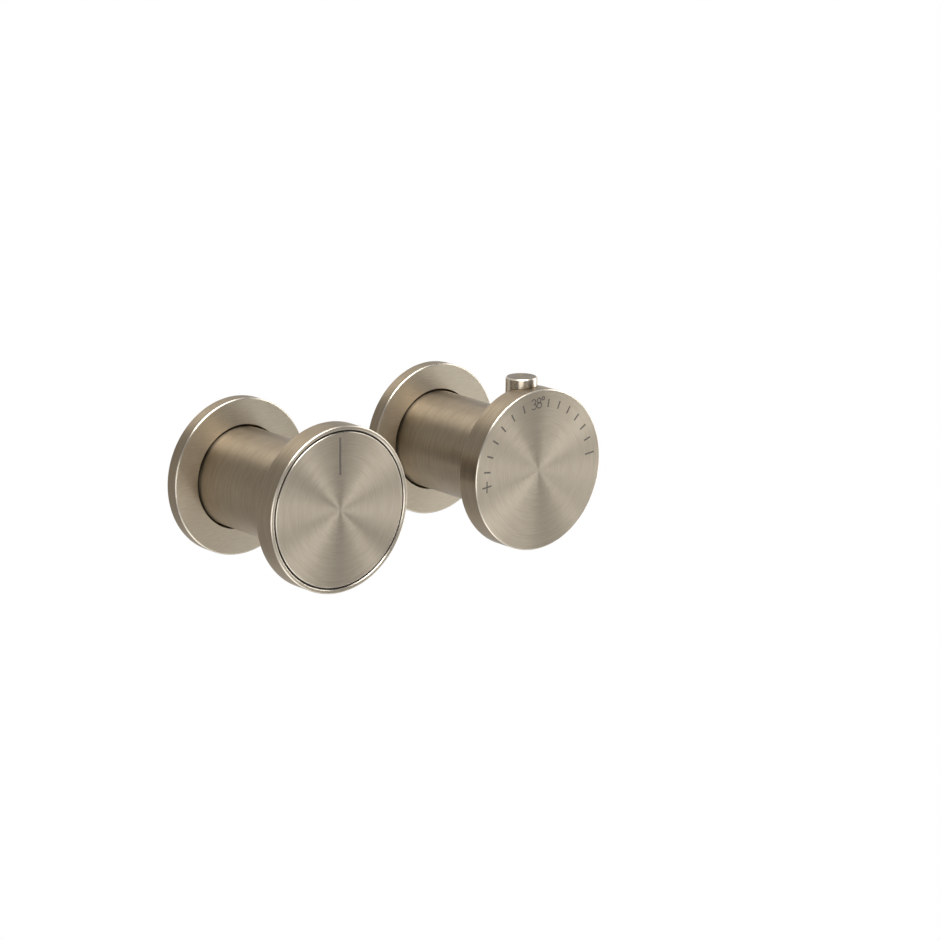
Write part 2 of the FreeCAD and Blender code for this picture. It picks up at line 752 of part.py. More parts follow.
def grooved_shaft(groove_middle, top):
    """The upper end of a spindle, with its O-ring groove, as a half section."""
    groove_radius = d.spindle_radius - d.spindle_groove_depth
    groove_low = groove_middle - d.spindle_groove_width / 2
    groove_high = groove_middle + d.spindle_groove_width / 2
    return [
        (d.spindle_radius, groove_low),
        (groove_radius, groove_low),
        (groove_radius, groove_high),
        (d.spindle_radius, groove_high),
        (d.spindle_radius, top),
        (ZERO, top),
    ]


def ceramic_disc(label, low, radius, bore, floor):
    """A ceramic disc with two through holes, and a blind hole for the spindle where it has a bore."""
    high = low + d.ceramic_thickness
    section = [(ZERO, low), (radius, low), (radius, high)]
    if bore is None:
        section.append((ZERO, high))
    else:
        section += [(bore, high), (bore, floor), (ZERO, floor)]
    blank = turned(f"{label}_blank", section, stop_x)
    holes = [
        bar(f"{label}_hole_{side}", d.ceramic_hole_radius, d.ceramic_thickness + d.cut_overrun * 2,
            stop_x + offset, low - d.cut_overrun)
        for side, offset in (("left", -d.ceramic_hole_offset), ("right", d.ceramic_hole_offset))
    ]
    return cut(label, blank, holes)


def headwork_set():
    """The ceramic headwork of the stop valve: fixed pieces first, then those that turn."""
    gap = d.fit_clearance
    seal_low = d.seat_height + gap
    seal_high = seal_low + d.head_seal_thickness
    housing_radius = d.headwork_bore_radius - gap
    housing_low = seal_high + gap
    cavity_high = housing_low + d.head_cavity_height
    spindle_bore = d.spindle_radius + gap
    groove_radius = housing_radius - d.seal_groove_depth
    groove_middle = (cavity_high + boss_top) / 2
    groove_low = groove_middle - d.seal_groove_width / 2
    groove_high = groove_middle + d.seal_groove_width / 2
    blank = turned("headwork_blank", [
        (d.head_cavity_radius, housing_low),
        (housing_radius, housing_low),
        (housing_radius, groove_low),
        (groove_radius, groove_low),
        (groove_radius, groove_high),
        (housing_radius, groove_high),
        (housing_radius, boss_top + gap),
        (d.head_flange_radius, boss_top + gap),
        (d.head_flange_radius, head_top),
        (spindle_bore, head_top),
        (spindle_bore, cavity_high),
        (d.head_cavity_radius, cavity_high),
    ], stop_x)
    window = bar("headwork_window", d.head_window_radius, d.boss_radius, stop_x, d.outlet_height, ZERO,
                 UPRIGHT)
    housing = cut("headwork_housing", blank, [window])
    seal_radius = d.headwork_bore_radius - gap
    seal = bush("headwork_seal", seal_radius - d.head_seal_width, seal_radius, seal_low, seal_high, stop_x)
    ring = seal_ring("headwork_ring", groove_radius, d.headwork_bore_radius, stop_x, groove_middle)

    disc_radius = d.head_cavity_radius - d.ceramic_play
    turning_low = housing_low + d.ceramic_thickness + d.ceramic_play
    turning_high = turning_low + d.ceramic_thickness
    dog_floor = turning_high - d.spindle_dog_length
    fixed = ceramic_disc("fixed_ceramic_disc", housing_low, disc_radius, None, None)
    turning = ceramic_disc("turning_ceramic_disc", turning_low, disc_radius - d.ceramic_play,
                           d.spindle_dog_radius + gap, dog_floor)
    shaft_low = turning_high + gap
    shaft_groove = (cavity_high + head_top) / 2
    spindle = turned("stop_spindle", [
        (ZERO, dog_floor + gap),
        (d.spindle_dog_radius, dog_floor + gap),
        (d.spindle_dog_radius, shaft_low),
        (d.spindle_radius, shaft_low),
        *grooved_shaft(shaft_groove, spindle_top),
    ], stop_x)
    clip = spindle_clip("stop_spindle_clip", head_top, stop_x)
    shaft_ring = seal_ring("stop_spindle_ring", d.spindle_radius - d.spindle_groove_depth, spindle_bore,
                           stop_x, shaft_groove)
    return [housing, seal, ring, fixed, turning, spindle, clip, shaft_ring]


def cartridge_set():
    """The thermostatic cartridge's housing, its seals and nut, and the spindle that turns in it."""
    gap = d.fit_clearance
    radius = d.cartridge_bore_radius - gap
    groove_radius = radius - d.seal_groove_depth
    cavity_low = cartridge_base + d.cartridge_floor
    spindle_bore = d.spindle_radius + gap
    mixed_top = d.bridge_height + d.bridge_bore_radius
    seal_levels = [
        (mixed_top + d.hot_height - d.cartridge_port_radius) / 2,
        (d.hot_height + d.cold_height) / 2,
        cavity_top + d.cartridge_roof / 2,
    ]
    section = [(ZERO, cartridge_base), (radius, cartridge_base)]
    for level in seal_levels:
        groove_low = level - d.seal_groove_width / 2
        groove_high = level + d.seal_groove_width / 2
        section += [
            (radius, groove_low),
            (groove_radius, groove_low),
            (groove_radius, groove_high),
            (radius, groove_high),
        ]
    section += [
        (radius, cartridge_top),
        (spindle_bore, cartridge_top),
        (spindle_bore, cavity_top),
        (d.cartridge_cavity_radius, cavity_top),
        (d.cartridge_cavity_radius, cavity_low),
        (ZERO, cavity_low),
    ]
    blank = turned("cartridge_blank", section, thermo_x)
    reach = d.boss_radius
    ports = [
        bar("mixed_port", d.cartridge_port_radius, reach, thermo_x - reach, d.bridge_height, ZERO, SIDEWAYS),
        bar("hot_port", d.cartridge_port_radius, reach, thermo_x - reach, d.hot_height, ZERO, SIDEWAYS),
        bar("cold_port", d.cartridge_port_radius, reach, thermo_x, d.cold_height, ZERO, SIDEWAYS),
    ]
    housing = cut("cartridge_housing", blank, ports)
    rings = [
        seal_ring(f"cartridge_ring_{index}", groove_radius, d.cartridge_bore_radius, thermo_x, level)
        for index, level in enumerate(seal_levels)
    ]
    nut = turned("cartridge_nut", [
        (tube_radius + gap, cartridge_top + gap),
        (radius, cartridge_top + gap),
        (radius, boss_top + gap),
        (d.head_flange_radius, boss_top + gap),
        (d.head_flange_radius, head_top),
        (tube_radius + gap, head_top),
    ], thermo_x)
    shaft_groove = (cavity_top + cartridge_top) / 2
    spindle = turned("thermo_spindle", [
        (ZERO, spindle_flange_low - d.spindle_stub_length),
        (d.spindle_stub_radius, spindle_flange_low - d.spindle_stub_length),
        (d.spindle_stub_radius, spindle_flange_low),
        (d.spindle_flange_radius, spindle_flange_low),
        (d.spindle_flange_radius, cavity_top - gap * 2),
        (d.spindle_radius, cavity_top - gap * 2),
        *grooved_shaft(shaft_groove, spindle_top),
    ], thermo_x)
    clip = spindle_clip("thermo_spindle_clip", cartridge_top, thermo_x)
    shaft_ring = seal_ring("thermo_spindle_ring", d.spindle_radius - d.spindle_groove_depth, spindle_bore,
                           thermo_x, shaft_groove)
    return [housing, grouped("cartridge_rings", rings), nut, spindle, clip, shaft_ring]


def shuttle_set():
    """The sliding regulator: its piston and seal, the wax element, the nut and the two springs."""
    gap = d.fit_clearance
    radius = d.cartridge_cavity_radius - gap * 2
    bore = radius - d.piston_wall
    groove_radius = radius - d.seal_groove_depth
    middle = (piston_low + piston_top) / 2
    groove_low = middle - d.seal_groove_width / 2
    groove_high = middle + d.seal_groove_width / 2
    web_low = piston_low + d.piston_web_setback
    web_high = web_low + d.piston_web
    plunger_hole = d.wax_plunger_radius + gap
    piston = turned("shuttle_piston", [
        (bore, piston_low),
        (radius, piston_low),
        (radius, groove_low),
        (groove_radius, groove_low),
        (groove_radius, groove_high),
        (radius, groove_high),
        (radius, piston_top),
        (bore, piston_top),
        (bore, web_high),
        (plunger_hole, web_high),
        (plunger_hole, web_low),
        (bore, web_low),
    ], thermo_x)
    ring = seal_ring("shuttle_ring", groove_radius, radius + gap, thermo_x, middle)
    collar_top = web_low - gap
    collar_low = piston_low + gap
    wax = turned("wax_element", [
        (ZERO, collar_top - d.wax_length),
        (d.wax_radius, collar_top - d.wax_length),
        (d.wax_radius, collar_low),
        (bore - gap, collar_low),
        (bore - gap, collar_top),
        (d.wax_plunger_radius, collar_top),
        (d.wax_plunger_radius, web_high + d.wax_plunger_length - d.piston_web),
        (ZERO, web_high + d.wax_plunger_length - d.piston_web),
    ], thermo_x)
    nut_top = spindle_flange_low - d.shuttle_travel - d.part_gap
    nut_low = nut_top - d.nut_length
    nut_bore = d.spindle_stub_radius + gap
    nut = bush("regulating_nut", nut_bore, nut_bore + d.nut_wall, nut_low, nut_top, thermo_x)
    overtravel = spring("overtravel_spring", d.overtravel_spring_radius, d.overtravel_spring_wire, web_high,
                        nut_low, OVERTRAVEL_SPRING_TURNS, thermo_x)
    back = spring("return_spring", d.return_spring_radius, d.return_spring_wire,
                  cartridge_base + d.cartridge_floor, piston_low, RETURN_SPRING_TURNS, thermo_x)
    return [piston, ring, wax, nut, overtravel, back]


def holed_disc(label, blank, count, circle, radius, low, length, x, height, up):
    """A disc with a ring of through holes parallel to its upright axis."""
    holes = []
    for index in range(count):
        angle = FULL_TURN_DEGREES * index / count
        hole = bar(f"{label}_hole_{index}", radius, length, x, height, up + low, UPRIGHT)
        bind(hole, "Placement.Base.x", Size(0, f"({x.text} + {circle.text} * cos({angle} deg))"))
        bind(hole, "Placement.Base.y", Size(0, f"({circle.text} * sin({angle} deg) - {height.text})"))
        holes.append(hole)
    return cut(label, blank, holes)


def inlet_set(name, x, height):
    """The strainer and the check valve inside one inlet, from its mouth upwards."""
    gap = d.fit_clearance
    mouth = -d.port_reach
    spot = (x, height, mouth, UPRIGHT)
    radius = d.check_bore_radius - gap
    strainer_low = d.thread_length + gap
    strainer_blank = bush(f"{name}_strainer_blank", ZERO, radius, strainer_low,
                          strainer_low + d.strainer_thickness, *spot)
    strainer = holed_disc(f"{name}_strainer", strainer_blank, STRAINER_HOLES, d.strainer_hole_circle,
                          d.strainer_hole_radius, strainer_low - d.cut_overrun,
                          d.strainer_thickness + d.cut_overrun * 2, x, height, mouth)
    bore = radius - d.cage_wall
    cage_top = cage_low + d.cage_length
    seat_top = cage_low + d.cage_seat_length
    web_top = cage_top - d.cage_web_setback
    web_low = web_top - d.cage_web
    guide = d.poppet_stem_radius + gap
    cage_blank = turned(f"{name}_cage_blank", [
        (d.cage_seat_radius, cage_low),
        (radius, cage_low),
        (radius, cage_top),
        (bore, cage_top),
        (bore, web_top),
        (guide, web_top),
        (guide, web_low),
        (bore, web_low),
        (bore, seat_top),
        (d.cage_seat_radius, seat_top),
    ], *spot)
    cage = holed_disc(f"{name}_check_cage", cage_blank, CAGE_HOLES, d.cage_hole_circle, d.cage_hole_radius,
                      web_low - d.cut_overrun, d.cage_web + d.cut_overrun * 2, x, height, mouth)
    head_low = seat_top + gap
    head_top_level = head_low + d.poppet_thickness
    stem_top = cage_top + d.poppet_stem_overhang
    poppet = turned(f"{name}_check_poppet", [
        (ZERO, head_low),
        (d.poppet_radius, head_low),
        (d.poppet_radius, head_top_level),
        (d.poppet_stem_radius, head_top_level),
        (d.poppet_stem_radius, stem_top),
        (ZERO, stem_top),
    ], *spot)
    coils = spring(f"{name}_check_spring", d.check_spring_radius, d.check_spring_wire, head_top_level,
                   web_low, CHECK_SPRING_TURNS, *spot)
    return [strainer, cage, poppet, coils]


def faults(pieces):
    """Everything that failed to build, in words."""
    found = [f"{item.Name}: {item.State}" for item in doc.Objects if {"Invalid", "Error"} & set(item.State)]
    for piece in pieces:
        if piece.Shape.isNull() or not piece.Shape.isValid() or not piece.Shape.Solids:
            found.append(f"{piece.Label}: no valid solid")
    return found


def main():
    pieces = [
        *wall_fixings(),
        *valve_body(),
        *rosette_set("stop", stop_x),
        *rosette_set("thermo", thermo_x),
        *stop_knob_set(),
        *thermo_knob_set(),
        *override_button_set(),
        *temperature_stop_set(),
        *headwork_set(),
        *cartridge_set(),
        *shuttle_set(),
        *inlet_set("hot", hot_x, d.hot_height),
        *inlet_set("cold", cold_x, d.cold_height),
    ]
    doc.recompute()
    found = faults(pieces)
    if found:
        raise RuntimeError("; ".join(found))
    os.makedirs("parts", exist_ok=True)
    for piece in pieces:
        piece.Shape.exportStep(f"parts/{piece.Label}.step")
        print(f"{piece.Label}: {len(piece.Shape.Solids)} solid(s), {piece.Shape.Volume:.1f} mm3")


main()
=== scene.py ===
import json
import math

import bmesh
import bpy
from mathutils import Matrix, Vector


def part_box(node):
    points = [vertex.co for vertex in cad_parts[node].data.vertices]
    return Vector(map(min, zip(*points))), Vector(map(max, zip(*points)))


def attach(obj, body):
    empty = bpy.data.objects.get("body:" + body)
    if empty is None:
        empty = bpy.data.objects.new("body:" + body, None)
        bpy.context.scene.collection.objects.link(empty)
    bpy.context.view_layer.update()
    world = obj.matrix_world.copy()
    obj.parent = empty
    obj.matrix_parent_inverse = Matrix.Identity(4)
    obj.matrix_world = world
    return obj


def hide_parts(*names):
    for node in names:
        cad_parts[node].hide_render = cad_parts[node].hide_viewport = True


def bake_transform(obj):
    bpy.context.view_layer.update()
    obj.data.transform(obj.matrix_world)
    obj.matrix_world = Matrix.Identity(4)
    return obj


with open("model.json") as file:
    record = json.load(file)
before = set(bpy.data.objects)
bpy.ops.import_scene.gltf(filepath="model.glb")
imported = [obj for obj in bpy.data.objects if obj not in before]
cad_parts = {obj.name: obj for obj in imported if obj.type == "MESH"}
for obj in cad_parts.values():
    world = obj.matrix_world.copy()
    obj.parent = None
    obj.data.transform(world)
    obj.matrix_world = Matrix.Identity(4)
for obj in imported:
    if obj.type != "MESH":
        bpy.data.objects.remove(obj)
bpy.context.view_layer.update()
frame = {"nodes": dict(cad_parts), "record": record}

# A concealed shower mixer: two knobs on stems that come through wall rosettes, and the valve behind
# the wall. Sizes are in millimetres and are turned into metres as each mesh is written. Heights run
# out of the finished wall, radii from each control's axis, and angles on the faces clockwise from
# the top.
MM = 0.001
WALL_DEPTH = 75.0
STOP_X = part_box("stop_knob_insert")[0].x / 2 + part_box("stop_knob_insert")[1].x / 2
THERMO_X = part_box("thermo_rosette")[0].x / 2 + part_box("thermo_rosette")[1].x / 2

# how finely round pieces are divided
SEGMENTS = 256
DRILL_SEGMENTS = 128
ARC_STEPS = 24

# rounded edges: the reach of a rounding, its steps, how far beyond it the point lies that keeps a
# flat flat, and the most that each may take of a short stretch
SOFT_EDGE = 0.12
SOFT_STEPS = 4
SOFT_SHARE = 1 / 4
SUPPORT = 0.06
SUPPORT_SHARE = 1 / 8

# edges steeper than this stay sharp where a piece is drilled
SHARP_ANGLE = math.radians(40)

# millimetres that count as the same, and metres between points that are joined
SAME = 1e-6
WELD = 1e-7

# finishes of a turned piece, in the order of its materials, and the slopes that part them
FACE, SIDE, BEVEL = range(3)
FLAT_SLOPE = 0.1
SIDE_SLOPE = 0.95

# the map across the brushing: turned surfaces take its low end, straight-brushed faces its high end
BRUSH_MAP = "brush"
MAP_SPAN = 0.45
STRAIGHT_START = 0.5

# rosettes: a ring with a lip around the stem, a seat for its sleeve and a groove for its gasket
ROSETTE_RADIUS = 32.0
ROSETTE_THICKNESS = 5.5
ROSETTE_EDGE = 0.4
ROSETTE_BORE = 21.3
ROSETTE_SEAT = 25.2
ROSETTE_LIP = 2.0
GASKET_BORE = 27.0
GASKET_RADIUS = 30.0
GASKET_DEPTH = 1.2

# both knobs: a hollow stem, a disc, and a hub inside with the socket for the rod
STEM_RADIUS = 20.45
STEM_BORE = 16.5
STEM_INSET = 2.0
STEM_CORNER = 0.5
KNOB_RADIUS = 33.1
KNOB_EDGE = 0.4
HUB_RADIUS = 6.5
HUB_LENGTH = 10.0
ROD_BORE = 4.05

# the left knob, its recess, the holes for the insert's spigot and the screw, and the insert
STOP_FRONT = 69.6
STOP_BACK = 60.0
STOP_BORE_END = 62.0
STOP_SOCKET = 61.55
RECESS_RADIUS = 31.35
RECESS_DEPTH = 1.75
SPIGOT_BORE = 27.05
SPIGOT_FLOOR = 65.85
SCREW_HEAD_BORE = 3.8
SCREW_SEAT = 63.35
SCREW_BORE = 2.05
INSERT_RADIUS = 30.75
INSERT_THICKNESS = 1.65
INSERT_EDGE = 0.3
SPIGOT_RADIUS = 27.0
SPIGOT_END = 65.9

# the right knob, with the holes for the button, its pin and the grub screw
THERMO_FRONT = 71.0
THERMO_BACK = 60.5
THERMO_BORE_END = 64.1
THERMO_SOCKET = 68.5
NOTCH_RADIUS = 6.7
NOTCH_FLOOR = 20.0
PIN_BORE = 2.55
GRUB_BORE = 2.05
GRUB_HEIGHT = 66.4

# the override button: its height on the stem, and its sizes from the stem's axis up
BUTTON_HEIGHT = 59.6
BUTTON_RADIUS = 6.4
BUTTON_FOOT = 23.3
BUTTON_TOP = 36.7
BUTTON_EDGE = 0.5
BUTTON_BORE = 4.2
BUTTON_BORE_TOP = 31.3
BUTTON_PIN_RADIUS = 2.45
BUTTON_PIN_TIP = 13.1
CLIP_NECK = 2.1
CLIP_LOW = 14.6
CLIP_TOP = 15.4

# coil springs between two bodies: steps in a turn, sides of the wire, and the radius of the wire and
# the number of turns of each
COIL_STEPS = 48
WIRE_SIDES = 12
CHECK_COIL = (0.35, 8)
RETURN_COIL = (0.9, 6)
BUTTON_COIL = (0.35, 7)

# dark marks, flush to a few hundredths with the faces that carry them
MARK_SINK = 0.03
MARK_RISE = 0.02
MARK_DEPTH = 0.2
INDICATOR_FROM = 14.0
INDICATOR_TO = 28.8
INDICATOR_WIDTH = 0.9
TICK_RADIUS = 27.5
TICK_LENGTH = 3.3
TICK_WIDTH = 0.7
TICK_COUNT = 6
COLD_START = 9.7
COLD_STEP = 12.2
HOT_START = -17.5
HOT_STEP = -13.1
SIGN_SIZE = 4.8
SIGN_STROKE = 0.62
SIGN_TILT = -6.0
PLUS_ANGLE = -95.6
MINUS_ANGLE = 84.0
DIGIT_STROKE = 0.52
DIGIT_HEIGHT = 4.1
DIGIT_RADIUS = 27.8
DIGIT_ANGLE = -1.9
DIGIT_TILT = -5.0

# the figures' shapes, in shares of their height: half their width, half the height of each bowl, the
# places along the line of the eight, the degree ring and the middle of all. The upper bowls are
# narrower by a share of the width, and the three is open between the angles of its ends.
DIGIT_WIDTH = 0.29
THREE_BOWL = 0.25
THREE_TOP_WIDTH = 0.9
THREE_START = -65
THREE_END = 245
EIGHT_PLACE = 0.7
EIGHT_TOP = 0.24
EIGHT_TOP_WIDTH = 0.85
EIGHT_FOOT = 0.26
DEGREE_PLACE = 1.25
DEGREE_RISE = 0.36
DEGREE_RADIUS = 0.15
DIGITS_MIDDLE = 0.55


def outward(x, y, z):
    """A frame on a control's axis: its Z runs out of the wall, its X along it and its Y up."""
    turn = Matrix(((1, 0, 0), (0, 0, -1), (0, 1, 0)))
    return Matrix.Translation((x, y, z)) @ turn.to_4x4()


STOP_AXIS = outward(STOP_X, -WALL_DEPTH * MM, 0)
THERMO_AXIS = outward(THERMO_X, -WALL_DEPTH * MM, 0)
BUTTON_AXIS = Matrix.Translation((THERMO_X, -(WALL_DEPTH + BUTTON_HEIGHT) * MM, 0))
GRUB_AXIS = Matrix.Translation((THERMO_X, -(WALL_DEPTH + GRUB_HEIGHT) * MM, 0))


def added(name, data):
    """An object of some data, linked to the scene."""
    piece = bpy.data.objects.new(name, data)
    bpy.context.scene.collection.objects.link(piece)
    return piece


def made(name, mesh):
    """An object of a built mesh."""
    data = bpy.data.meshes.new(name)
    mesh.to_mesh(data)
    mesh.free()
    return added(name, data)


def put(name, mesh, place):
    """Makes an object of a built mesh, with its faces turned outward, and puts it at its place."""
    bmesh.ops.recalc_face_normals(mesh, faces=mesh.faces)
    piece = made(name, mesh)
    piece.matrix_world = place
    return piece


def softened(corners):
    """A half section with its corners rounded off, and points beside them that keep flats flat."""
    section = []
    for index, corner in enumerate(corners):
        here = Vector(corner)
        if here.x == 0:
            section.append(here)
            continue
        back = Vector(corners[index - 1]) - here
        ahead = Vector(corners[(index + 1) % len(corners)]) - here
        reach = min(SOFT_EDGE, back.length * SOFT_SHARE, ahead.length * SOFT_SHARE)
        before = reach + min(SUPPORT, back.length * SUPPORT_SHARE)
        after = reach + min(SUPPORT, ahead.length * SUPPORT_SHARE)
        start = here + back.normalized() * reach
        end = here + ahead.normalized() * reach
        section.append(here + back.normalized() * before)
        for step in range(SOFT_STEPS + 1):
            share = step / SOFT_STEPS
            section.append(start.lerp(here, share).lerp(here.lerp(end, share), share))
        section.append(here + ahead.normalized() * after)
    return section


def finish_of(run):
    """The finish of a stretch of a section: a flat face, a turned side, or a bevel between them."""
    slope = abs(run.y) / run.length
    if slope < FLAT_SLOPE:
        return FACE
    return SIDE if slope > SIDE_SLOPE else BEVEL


def points_around(mesh, corner):
    """The points that a section's corner makes around the axis, or the one point that lies on it."""
    points = []
    for turn in range(SEGMENTS if corner.x else 1):
        angle = math.tau * turn / SEGMENTS
        place = Vector((corner.x * math.cos(angle), corner.x * math.sin(angle), corner.y))
        points.append(mesh.verts.new(place * MM))
    return points


def straight_map(point):
    """Where a point of a straight-brushed face lies on the map, which runs up the face."""
    span = ROSETTE_RADIUS * MM * 2
    return STRAIGHT_START + MAP_SPAN * (point.y / span + 0.5), point.x / span + 0.5


def turned(name, corners, axis, flat_face=None):
    """A piece turned about its own axis from a half section given as (radius, height) corners.

    Its map runs along the section, and straight up on a face at the height given as flat_face."""
    section = softened(corners)
    lengths = [0.0]
    for start, end in zip(section, section[1:] + section[:1]):
        lengths.append(lengths[-1] + (end - start).length)
    mesh = bmesh.new()
    layer = mesh.loops.layers.uv.new(BRUSH_MAP)
    rings = [points_around(mesh, corner) for corner in section]
    for index, ring in enumerate(rings):
        following = (index + 1) % len(rings)
        after = rings[following]
        if len(ring) == 1 and len(after) == 1:
            continue
        levels = (section[index].y, section[following].y)
        on_flat = flat_face is not None and all(abs(level - flat_face) < SAME for level in levels)
        finish = finish_of(section[following] - section[index])
        for turn in range(SEGMENTS):
            patch = [(ring, turn, index), (ring, turn + 1, index),
                     (after, turn + 1, index + 1), (after, turn, index + 1)]
            if len(ring) == 1:
                patch.pop(1)
            if len(after) == 1:
                patch.pop(2)
            face = mesh.faces.new([points[at % len(points)] for points, at, _ in patch])
            face.smooth = True
            face.material_index = finish
            for loop, (_, at, place) in zip(face.loops, patch):
                if on_flat:
                    loop[layer].uv = straight_map(loop.vert.co)
                else:
                    loop[layer].uv = (MAP_SPAN * lengths[place] / lengths[-1], at / SEGMENTS)
    return put(name, mesh, axis)


def drill(radius, low, high, place):
    """A round cutter along its place's own Z."""
    mesh = bmesh.new()
    bmesh.ops.create_cone(mesh, cap_ends=True, segments=DRILL_SEGMENTS, radius1=radius * MM,
                          radius2=radius * MM, depth=(high - low) * MM,
                          matrix=Matrix.Translation((0, 0, (low + high) / 2 * MM)))
    return put("cutter", mesh, place)


def cut_away(piece, cutters):
    """Cuts holes in a piece and keeps its flats flat and its edges sharp."""
    for cutter in cutters:
        step = piece.modifiers.new("cut", "BOOLEAN")
        step.object = cutter
        step.operation = "DIFFERENCE"
        step.solver = "EXACT"
    bpy.context.view_layer.update()
    whole = piece.evaluated_get(bpy.context.evaluated_depsgraph_get())
    data = bpy.data.meshes.new_from_object(whole)
    piece.modifiers.clear()
    piece.data = data
    for cutter in cutters:
        bpy.data.objects.remove(cutter)
    data.set_sharp_from_angle(angle=SHARP_ANGLE)
    return piece


def stroke(points, width, closed=False):
    """A flat ribbon of one width along points, as pairs of left and right points."""
    sides = []
    for index, point in enumerate(points):
        before = points[index - 1] if index or closed else point
        after = points[(index + 1) % len(points)] if index + 1 < len(points) or closed else point
        along = (after - before).normalized()
        across = Vector((-along.y, along.x)) * width / 2
        sides.append((point + across, point - across))
    if closed:
        sides.append(sides[0])
    return sides


def marks(name, strokes, front, axis):
    """Flat strokes set into a face, as one piece that stands a hair proud of it."""
    mesh = bmesh.new()
    top = front - MARK_SINK + MARK_RISE
    bottom = front - MARK_DEPTH
    for sides in strokes:
        rows = []
        for left, right in sides:
            corners = ((left, top), (right, top), (right, bottom), (left, bottom))
            rows.append([mesh.verts.new(Vector((p.x, p.y, level)) * MM) for p, level in corners])
        for row, after in zip(rows, rows[1:]):
            for side, corner in enumerate(row):
                following = (side + 1) % len(row)
                mesh.faces.new((corner, row[following], after[following], after[side]))
        if (sides[0][0] - sides[-1][0]).length < SAME:
            bmesh.ops.remove_doubles(mesh, verts=rows[0] + rows[-1], dist=WELD)
        else:
            mesh.faces.new(rows[0])
            mesh.faces.new(rows[-1][::-1])
    return put(name, mesh, axis)


def on_dial(angle, radius):
    """A point of a face, its angle clockwise from the top."""
    turn = math.radians(angle)
    return Vector((radius * math.sin(turn), radius * math.cos(turn)))


def arc(centre, across, up, start, end):
    """Points of an oval arc, with its angles clockwise from the top."""
    points = []
    for step in range(ARC_STEPS + 1):
        turn = math.radians(start + (end - start) * step / ARC_STEPS)
        points.append(centre + Vector((across * math.sin(turn), up * math.cos(turn))))
    return points


def oval(centre, across, up):
    """Points of a whole oval, each of them once."""
    return arc(centre, across, up, 0, 360)[:-1]


def tick(angle):
    """A short radial stroke of the dial."""
    ends = [on_dial(angle, TICK_RADIUS + side * TICK_LENGTH / 2) for side in (1, -1)]
    return stroke(ends, TICK_WIDTH)


def sign(angle, crossed):
    """A minus, or a plus where it is crossed."""
    centre = on_dial(angle, TICK_RADIUS)
    tilt = Matrix.Rotation(math.radians(-SIGN_TILT), 2)
    arm = tilt @ Vector((SIGN_SIZE / 2, 0))
    strokes = [stroke([centre - arm, centre + arm], SIGN_STROKE)]
    if crossed:
        arm = Vector((0, SIGN_SIZE / 2))
        half = Vector((0, SIGN_STROKE / 2))
        strokes.append(stroke([centre + half, centre + arm], SIGN_STROKE))
        strokes.append(stroke([centre - arm, centre - half], SIGN_STROKE))
    return strokes


def reading():
    """The figures of the safe temperature, drawn as thin strokes on a line across the dial."""
    high = DIGIT_HEIGHT
    width = high * DIGIT_WIDTH
    bowl = high * THREE_BOWL
    three = arc(Vector((0, bowl)), width * THREE_TOP_WIDTH, bowl, THREE_START, 180)
    three += arc(Vector((0, -bowl)), width, bowl, 0, THREE_END)[1:]
    eight = high * EIGHT_PLACE
    eight_top = oval(Vector((eight, high * EIGHT_FOOT)), width * EIGHT_TOP_WIDTH, high * EIGHT_TOP)
    eight_foot = oval(Vector((eight, -high * EIGHT_TOP)), width, high * EIGHT_FOOT)
    ring = high * DEGREE_RADIUS
    degree = oval(Vector((high * DEGREE_PLACE, high * DEGREE_RISE)), ring, ring)
    middle = Vector((high * DIGITS_MIDDLE, 0))
    turn = Matrix.Rotation(math.radians(-DIGIT_TILT), 2)
    place = on_dial(DIGIT_ANGLE, DIGIT_RADIUS)
    strokes = []
    for line, closed in ((three, False), (eight_top, True), (eight_foot, True), (degree, True)):
        points = [place + turn @ (point - middle) for point in line]
        strokes.append(stroke(points, DIGIT_STROKE, closed))
    return strokes


def rosette(name, axis):
    """A wall rosette: a flat ring, open at its back for the sleeve that carries it."""
    front = ROSETTE_THICKNESS
    return turned(name, [
        (ROSETTE_SEAT, 0),
        (GASKET_BORE, 0),
        (GASKET_BORE, GASKET_DEPTH),
        (GASKET_RADIUS, GASKET_DEPTH),
        (GASKET_RADIUS, 0),
        (ROSETTE_RADIUS, 0),
        (ROSETTE_RADIUS, front - ROSETTE_EDGE),
        (ROSETTE_RADIUS - ROSETTE_EDGE, front),
        (ROSETTE_BORE, front),
        (ROSETTE_BORE, front - ROSETTE_LIP),
        (ROSETTE_SEAT, front - ROSETTE_LIP),
    ], axis, flat_face=front)


def stem_and_disc(back, front):
    """The outside of a knob from its stem's end to its front edge."""
    return [
        (STEM_BORE, -STEM_INSET),
        (STEM_RADIUS, -STEM_INSET),
        (STEM_RADIUS, back - STEM_CORNER),
        (STEM_RADIUS + STEM_CORNER, back),
        (KNOB_RADIUS - KNOB_EDGE, back),
        (KNOB_RADIUS, back + KNOB_EDGE),
        (KNOB_RADIUS, front - KNOB_EDGE),
        (KNOB_RADIUS - KNOB_EDGE, front),
    ]


def socket_and_hub(bore_end, socket):
    """The inside of a knob from the socket for its rod back to the stem's bore."""
    return [
        (ROD_BORE, socket),
        (ROD_BORE, bore_end - HUB_LENGTH),
        (HUB_RADIUS, bore_end - HUB_LENGTH),
        (HUB_RADIUS, bore_end),
        (STEM_BORE, bore_end),
    ]


